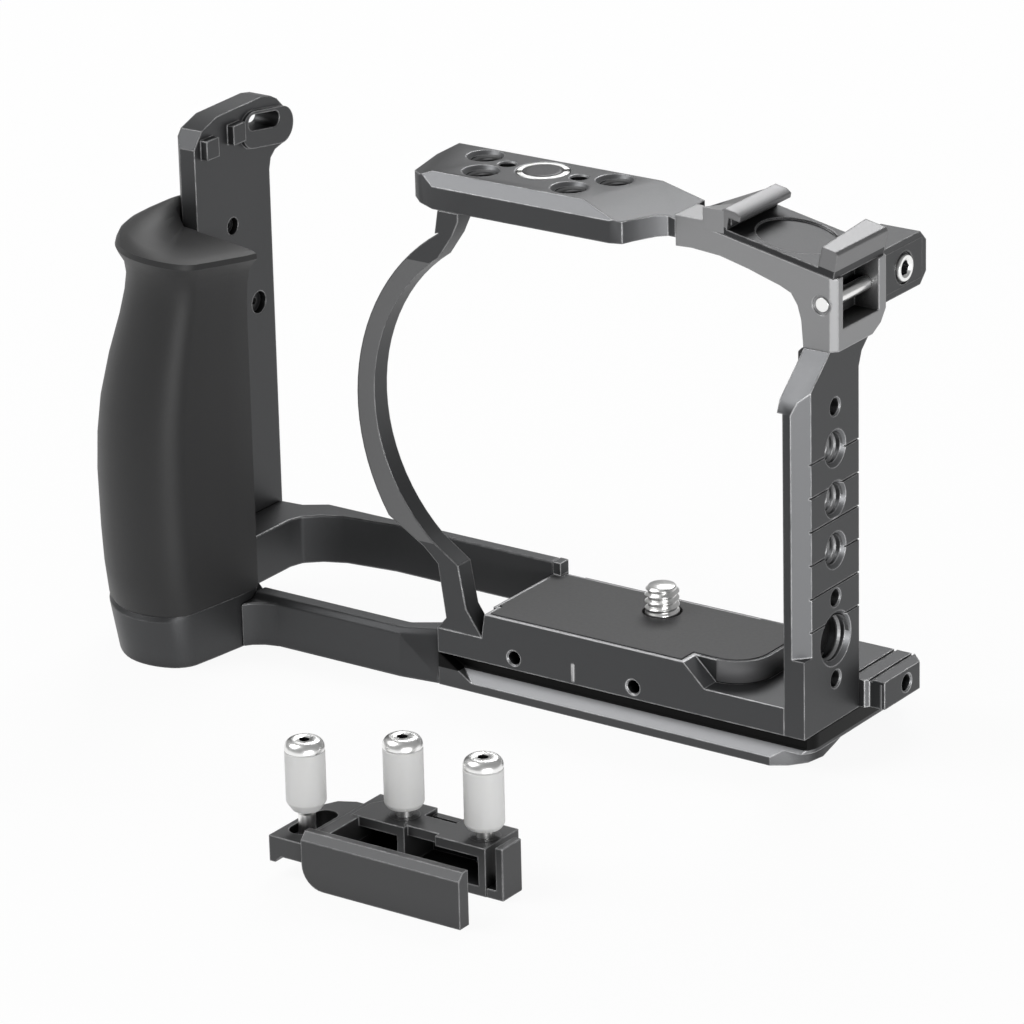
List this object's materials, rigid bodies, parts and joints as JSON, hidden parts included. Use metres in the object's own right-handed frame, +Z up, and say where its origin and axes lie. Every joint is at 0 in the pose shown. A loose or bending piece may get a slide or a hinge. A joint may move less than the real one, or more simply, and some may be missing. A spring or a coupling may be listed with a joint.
{
  "type": "camera cage with side handle",
  "caption": "Metal camera cage with a ring-shaped arm, a rubber side grip, a sloping accessory shoe and a dovetail base; comes with a small screw-down cable clamp.",
  "frame": {"origin": "on the camera screw's axis, in the plane of the seat", "axes": "+X to the right in the front view, +Y to the rear, away from the lens side, +Z up along the camera screw"},
  "size_m": [0.1531, 0.1253, 0.0976],
  "materials": {
    "anodised": "fine satin anodised, dark gunmetal grey",
    "anodised_light": "fine satin anodised, slate grey",
    "grip_rubber": "matte silicone",
    "inner_plastic": "plain moulded",
    "pad_rubber": "matte, fine grain",
    "steel": "bright turned",
    "black_steel": "black oxide",
    "sleeve_plastic": "satin off-white",
    "clamp_metal": "satin anodised, near black"
  },
  "bodies": {
    "cage": {"base_plate": "anodised", "dovetail_rail": "anodised", "side_column": "anodised", "shoe_arch": "anodised_light", "cold_shoe": "anodised_light", "top_plate": "anodised", "curved_arm": "anodised", "loop_front_arm": "anodised_light", "loop_rear_arm": "anodised", "grip_foot": "anodised", "handle_post": "anodised", "grip_core": "inner_plastic", "grip_sleeve": "grip_rubber", "grip_screws": "black_steel", "seat_pad": "pad_rubber", "column_pad": "pad_rubber", "screw_keeper": "black_steel", "reducer_bushing": "steel", "strap_bar": "steel", "rear_block": "anodised", "rear_block_screw": "steel", "clamp_body": "clamp_metal", "clamp_hook": "clamp_metal"},
    "screw_slide": {"screw_washer": "inner_plastic"},
    "camera_screw": {"camera_screw": "steel"},
    "middle_pad": {"middle_pad": "black_steel"},
    "middle_screw": {"middle_screw": "steel", "middle_sleeve": "sleeve_plastic"},
    "right_pad": {"right_pad": "black_steel"},
    "right_screw": {"right_screw": "steel", "right_sleeve": "sleeve_plastic"},
    "fixing_slide": {"fixing_bush": "inner_plastic"},
    "fixing_lift": {"fixing_clip": "black_steel"},
    "fixing_screw": {"fixing_screw": "steel", "fixing_sleeve": "sleeve_plastic"}
  },
  "joints": [
    {"name": "camera_screw_drop", "type": "slide", "parent": "cage", "child": "screw_slide", "axis": [0, 0, 1], "range_m": [-0.005, 0]},
    {"name": "camera_screw_turn", "type": "hinge", "parent": "screw_slide", "child": "camera_screw", "pos_m": [0, 0, 0], "axis": [0, 0, 1], "continuous": true},
    {"name": "middle_pad_press", "type": "slide", "parent": "cage", "child": "middle_pad", "axis": [0, 0, 1], "range_m": [-0.0009, 0.0028]},
    {"name": "middle_screw_turn", "type": "hinge", "parent": "middle_pad", "child": "middle_screw", "pos_m": [0.0039, -0.0848, 0], "axis": [0, 0, 1], "range_deg": [-660, 2030]},
    {"name": "right_pad_press", "type": "slide", "parent": "cage", "child": "right_pad", "axis": [0, 0, 1], "range_m": [-0.0009, 0.0028]},
    {"name": "right_screw_turn", "type": "hinge", "parent": "right_pad", "child": "right_screw", "pos_m": [0.0204, -0.0848, 0], "axis": [0, 0, 1], "range_deg": [-660, 2030]},
    {"name": "fixing_screw_shift", "type": "slide", "parent": "cage", "child": "fixing_slide", "axis": [0, 1, 0], "range_m": [-0.0002, 0.0035]},
    {"name": "fixing_screw_lift", "type": "slide", "parent": "fixing_slide", "child": "fixing_lift", "axis": [0, 0, 1], "range_m": [-0.0009, 0.0003]},
    {"name": "fixing_screw_turn", "type": "hinge", "parent": "fixing_lift", "child": "fixing_screw", "pos_m": [-0.0094, -0.0945, 0], "axis": [0, 0, 1], "continuous": true}
  ],
  "couplings": [
    {"joint": "middle_screw_turn", "follows": "middle_pad_press", "rad_per_m": 12566},
    {"joint": "right_screw_turn", "follows": "right_pad_press", "rad_per_m": 12566}
  ]
}
